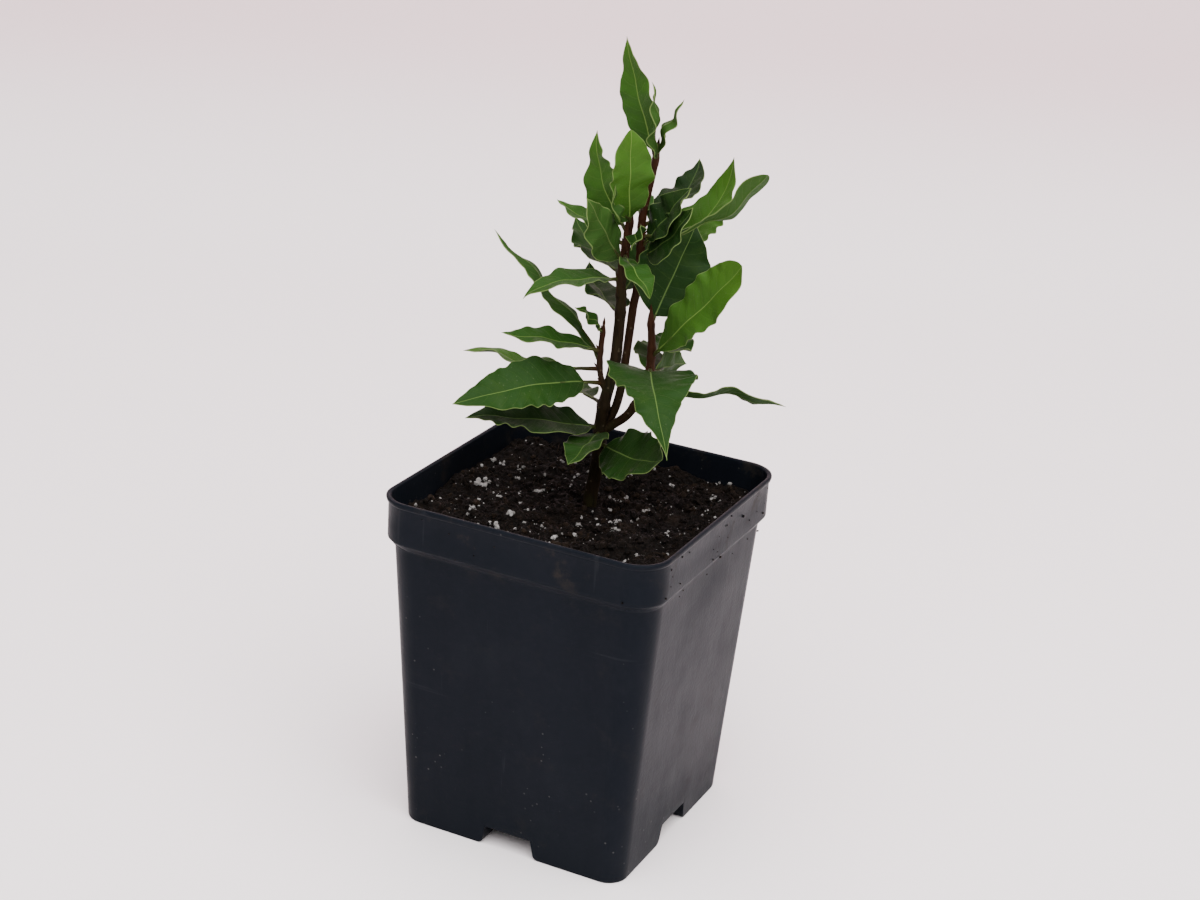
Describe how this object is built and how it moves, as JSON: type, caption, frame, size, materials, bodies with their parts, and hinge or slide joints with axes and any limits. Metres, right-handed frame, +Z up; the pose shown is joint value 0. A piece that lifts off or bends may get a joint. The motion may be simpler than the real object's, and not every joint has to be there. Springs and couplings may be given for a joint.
{
  "type": "potted bay laurel plant",
  "caption": "Young bay laurel with wavy glossy leaves on branching stems, standing in peat in a square black nursery pot.",
  "frame": {"origin": "middle of the pot's underside, on the plane its corner feet stand on", "axes": "+Z up along the plant; -Y is the pot face seen broadest in the picture and +X the face seen to its right"},
  "size_m": [0.1, 0.1, 0.2642],
  "materials": {
    "black_plastic": "satin black, thin moulded pot",
    "peat": "dark damp peat with white mineral grains; fabric stands in for loose fibrous soil",
    "main_green": "glossy leathery leaves, middle green, brown stem",
    "tall_green": "glossy leathery leaves, middle to bluish green, red-brown stem",
    "right_green": "glossy leathery leaves, dark green, brown stem",
    "left_green": "glossy leathery leaves, middle green, brown stem"
  },
  "bodies": {
    "root": {"pot": "black_plastic", "soil": "peat", "main_stem": "main_green", "tall_stem": "tall_green", "right_stem": "right_green", "left_shoot": "left_green"}
  },
  "joints": []
}
